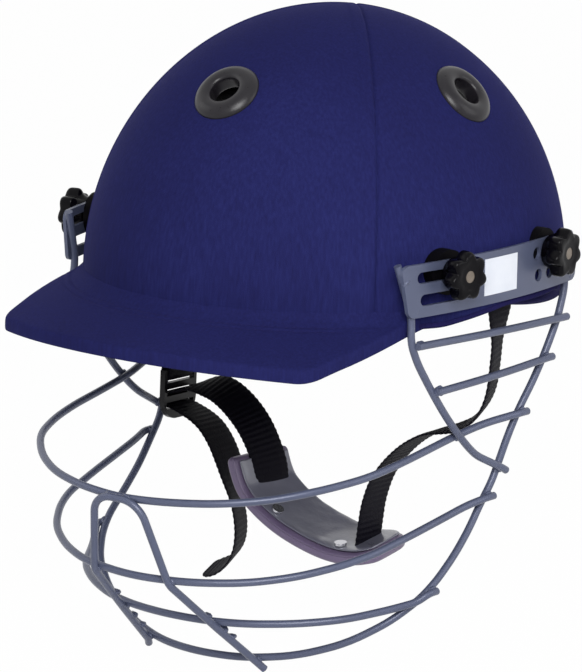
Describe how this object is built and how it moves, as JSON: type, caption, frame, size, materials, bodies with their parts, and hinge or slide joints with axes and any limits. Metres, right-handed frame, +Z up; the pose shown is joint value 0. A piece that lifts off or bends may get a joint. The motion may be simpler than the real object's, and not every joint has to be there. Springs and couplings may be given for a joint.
{
  "type": "batting helmet with face guard",
  "caption": "Cloth-covered hard batting helmet with a peak, ventilation eyelets, an adjustable wire face guard on side plates and a chin strap with a padded cup.",
  "frame": {"origin": "middle of the head opening, level with the widest part of the shell, where the head is held", "axes": "+Z up through the crown, -Y towards the face and peak, +X to the wearer's left"},
  "size_m": [0.246, 0.2887, 0.3035],
  "materials": {
    "shell": "moulded, lightly textured inside",
    "cloth": "stretched woven cloth, satin",
    "board": "plain sheet",
    "binding": "folded tape",
    "eyelet": "polished black",
    "liner": "brushed cloth over foam",
    "towelling": "looped towelling",
    "guard_steel": "semi-gloss powder coat, slate grey",
    "label": "plain white",
    "spacer": "soft black",
    "bolt": "plated",
    "anchor": "moulded",
    "webbing": "ribbed woven tape",
    "buckle": "moulded black",
    "cup": "leather-look, grey mauve",
    "cup_lining": "smooth, slightly shiny",
    "rivet": "clear",
    "knob": "polished black"
  },
  "bodies": {
    "helmet": {"hard_shell": "shell", "cover_front": "cloth", "cover_left": "cloth", "cover_right": "cloth", "cover_rear": "cloth", "peak_board": "board", "peak_cover": "cloth", "rim_binding": "binding", "eyelet_front": "eyelet", "eyelet_rear": "eyelet", "eyelet_left": "eyelet", "eyelet_right": "eyelet", "eyelet_washers": "eyelet", "liner_front_pad": "liner", "liner_left_pad": "liner", "liner_right_pad": "liner", "liner_rear_pad": "liner", "liner_crown_pad": "liner", "sweatband": "towelling", "side_plate_left": "guard_steel", "side_plate_right": "guard_steel", "plate_label": "label", "bolt_spacers": "spacer", "grille_bolts": "bolt", "frame_wire": "guard_steel", "temple_wire_left": "guard_steel", "temple_wire_right": "guard_steel", "top_bar": "guard_steel", "middle_bar": "guard_steel", "lower_bar": "guard_steel", "nose_hoop": "guard_steel", "upper_side_bar_left": "guard_steel", "upper_side_bar_right": "guard_steel", "lower_side_bar_left": "guard_steel", "lower_side_bar_right": "guard_steel", "strap_anchor_left": "anchor", "strap_anchor_right": "anchor"},
    "knob_front_left": {"star_knob_front_left": "knob", "knob_insert_front_left": "bolt"},
    "knob_front_right": {"star_knob_front_right": "knob", "knob_insert_front_right": "bolt"},
    "knob_rear_left": {"star_knob_rear_left": "knob", "knob_insert_rear_left": "bolt"},
    "knob_rear_right": {"star_knob_rear_right": "knob", "knob_insert_rear_right": "bolt"},
    "chin_strap": {"chin_strap_left": "webbing", "strap_tab": "webbing", "strap_buckle": "buckle", "chin_strap_right": "webbing", "chin_cup": "cup", "chin_cup_lining": "cup_lining", "cup_rivets": "rivet"}
  },
  "joints": [
    {"name": "front_left_knob_turn", "type": "hinge", "parent": "helmet", "child": "knob_front_left", "pos_m": [0.10521, -0.05002, 0.01762], "axis": [0.9828, -0.1847, 0], "continuous": true},
    {"name": "front_right_knob_turn", "type": "hinge", "parent": "helmet", "child": "knob_front_right", "pos_m": [-0.10521, -0.05002, 0.01762], "axis": [-0.9828, -0.1847, 0], "continuous": true},
    {"name": "rear_left_knob_turn", "type": "hinge", "parent": "helmet", "child": "knob_rear_left", "pos_m": [0.11057, 0.02224, 0.02014], "axis": [0.9993, 0.0376, 0], "continuous": true},
    {"name": "rear_right_knob_turn", "type": "hinge", "parent": "helmet", "child": "knob_rear_right", "pos_m": [-0.11057, 0.02224, 0.02014], "axis": [-0.9993, 0.0376, 0], "continuous": true},
    {"name": "chin_strap_swing", "type": "hinge", "parent": "helmet", "child": "chin_strap", "pos_m": [0, 0.002, 0.014], "axis": [1, 0, 0], "range_deg": [-25, 35]}
  ]
}
